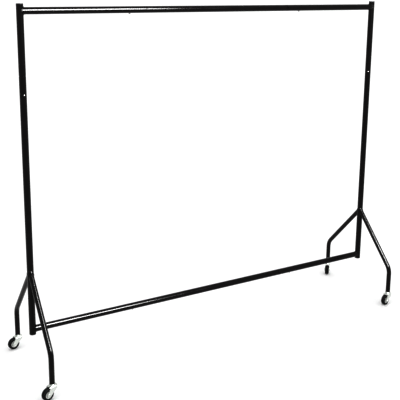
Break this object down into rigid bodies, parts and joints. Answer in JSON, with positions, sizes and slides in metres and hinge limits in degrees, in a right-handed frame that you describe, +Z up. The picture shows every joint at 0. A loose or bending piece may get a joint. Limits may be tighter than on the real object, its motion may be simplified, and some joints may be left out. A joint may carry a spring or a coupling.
{
  "type": "garment rail",
  "caption": "Free-standing rolling garment rail of black tube: hanging rail over a low tie bar between two posts on splayed bases with swivel castors.",
  "frame": {"origin": "on the floor, midway between the two posts and midway between the front and back feet", "axes": "+X along the hanging rail to the right, +Y to the back (the left post's snap button faces -Y), +Z up"},
  "size_m": [1.8677, 0.5036, 1.527],
  "materials": {
    "black_paint": "gloss black stoved enamel",
    "black_plastic": "satin moulded polyethylene",
    "button_zinc": "bright zinc-plated spring steel",
    "castor_zinc": "bright zinc-plated pressed steel",
    "bearing_steel": "polished, greased",
    "hub_plastic": "light grey moulded polypropylene",
    "tyre_rubber": "matt black moulded rubber"
  },
  "bodies": {
    "frame": {"rail_middle": "black_paint", "bar_middle": "black_paint", "leg_sockets": "black_plastic", "left_corner_post": "black_paint", "left_lower_post": "black_paint", "left_base_tube": "black_paint", "left_rail_stub": "black_paint", "left_bar_stub": "black_paint", "left_post_cap": "black_plastic", "left_base_cap": "black_plastic", "left_rail_welds": "black_paint", "left_leg_welds": "black_paint", "right_corner_post": "black_paint", "right_lower_post": "black_paint", "right_base_tube": "black_paint", "right_rail_stub": "black_paint", "right_bar_stub": "black_paint", "right_post_cap": "black_plastic", "right_base_cap": "black_plastic", "right_rail_welds": "black_paint", "right_leg_welds": "black_paint", "left_front_leg": "black_paint", "left_front_stem": "castor_zinc", "left_front_race": "castor_zinc", "left_back_leg": "black_paint", "left_back_stem": "castor_zinc", "left_back_race": "castor_zinc", "right_front_leg": "black_paint", "right_front_stem": "castor_zinc", "right_front_race": "castor_zinc", "right_back_leg": "black_paint", "right_back_stem": "castor_zinc", "right_back_race": "castor_zinc"},
    "left_post_button": {"left_post_button": "button_zinc"},
    "left_rail_button": {"left_rail_button": "button_zinc"},
    "left_bar_button": {"left_bar_button": "button_zinc"},
    "right_post_button": {"right_post_button": "button_zinc"},
    "right_rail_button": {"right_rail_button": "button_zinc"},
    "right_bar_button": {"right_bar_button": "button_zinc"},
    "left_front_swivel": {"left_front_fork": "castor_zinc", "left_front_axle": "castor_zinc", "left_front_balls": "bearing_steel"},
    "left_front_wheel": {"left_front_hub": "hub_plastic", "left_front_tyre": "tyre_rubber"},
    "left_back_swivel": {"left_back_fork": "castor_zinc", "left_back_axle": "castor_zinc", "left_back_balls": "bearing_steel"},
    "left_back_wheel": {"left_back_hub": "hub_plastic", "left_back_tyre": "tyre_rubber"},
    "right_front_swivel": {"right_front_fork": "castor_zinc", "right_front_axle": "castor_zinc", "right_front_balls": "bearing_steel"},
    "right_front_wheel": {"right_front_hub": "hub_plastic", "right_front_tyre": "tyre_rubber"},
    "right_back_swivel": {"right_back_fork": "castor_zinc", "right_back_axle": "castor_zinc", "right_back_balls": "bearing_steel"},
    "right_back_wheel": {"right_back_hub": "hub_plastic", "right_back_tyre": "tyre_rubber"}
  },
  "joints": [
    {"name": "left_post_button_press", "type": "slide", "parent": "frame", "child": "left_post_button", "axis": [0, 1, 0], "range_m": [0, 0.0055], "stiffness_N_per_m": 2000, "springref_m": -0.001},
    {"name": "left_rail_button_press", "type": "slide", "parent": "frame", "child": "left_rail_button", "axis": [0, 0, 1], "range_m": [0, 0.0055], "stiffness_N_per_m": 2000, "springref_m": -0.001},
    {"name": "left_bar_button_press", "type": "slide", "parent": "frame", "child": "left_bar_button", "axis": [0, 0, 1], "range_m": [0, 0.0055], "stiffness_N_per_m": 2000, "springref_m": -0.001},
    {"name": "right_post_button_press", "type": "slide", "parent": "frame", "child": "right_post_button", "axis": [0.5736, 0.8192, 0], "range_m": [0, 0.0055], "stiffness_N_per_m": 2000, "springref_m": -0.001},
    {"name": "right_rail_button_press", "type": "slide", "parent": "frame", "child": "right_rail_button", "axis": [0, 0, 1], "range_m": [0, 0.0055], "stiffness_N_per_m": 2000, "springref_m": -0.001},
    {"name": "right_bar_button_press", "type": "slide", "parent": "frame", "child": "right_bar_button", "axis": [0, 0, 1], "range_m": [0, 0.0055], "stiffness_N_per_m": 2000, "springref_m": -0.001},
    {"name": "left_front_swivel_turn", "type": "hinge", "parent": "frame", "child": "left_front_swivel", "pos_m": [-0.9005, -0.231, 0.0535], "axis": [0, 0, 1], "continuous": true},
    {"name": "left_front_wheel_roll", "type": "hinge", "parent": "left_front_swivel", "child": "left_front_wheel", "pos_m": [-0.92154, -0.23743, 0.025], "axis": [0.2924, -0.9563, 0], "continuous": true},
    {"name": "left_back_swivel_turn", "type": "hinge", "parent": "frame", "child": "left_back_swivel", "pos_m": [-0.9005, 0.231, 0.0535], "axis": [0, 0, 1], "continuous": true},
    {"name": "left_back_wheel_roll", "type": "hinge", "parent": "left_back_swivel", "child": "left_back_wheel", "pos_m": [-0.9221, 0.2268, 0.025], "axis": [0.1908, -0.9816, 0], "continuous": true},
    {"name": "right_front_swivel_turn", "type": "hinge", "parent": "frame", "child": "right_front_swivel", "pos_m": [0.9005, -0.231, 0.0535], "axis": [0, 0, 1], "continuous": true},
    {"name": "right_front_wheel_roll", "type": "hinge", "parent": "right_front_swivel", "child": "right_front_wheel", "pos_m": [0.87915, -0.23632, 0.025], "axis": [0.2419, -0.9703, 0], "continuous": true},
    {"name": "right_back_swivel_turn", "type": "hinge", "parent": "frame", "child": "right_back_swivel", "pos_m": [0.9005, 0.231, 0.0535], "axis": [0, 0, 1], "continuous": true},
    {"name": "right_back_wheel_roll", "type": "hinge", "parent": "right_back_swivel", "child": "right_back_wheel", "pos_m": [0.88441, 0.216, 0.025], "axis": [0.682, -0.7314, 0], "continuous": true}
  ]
}
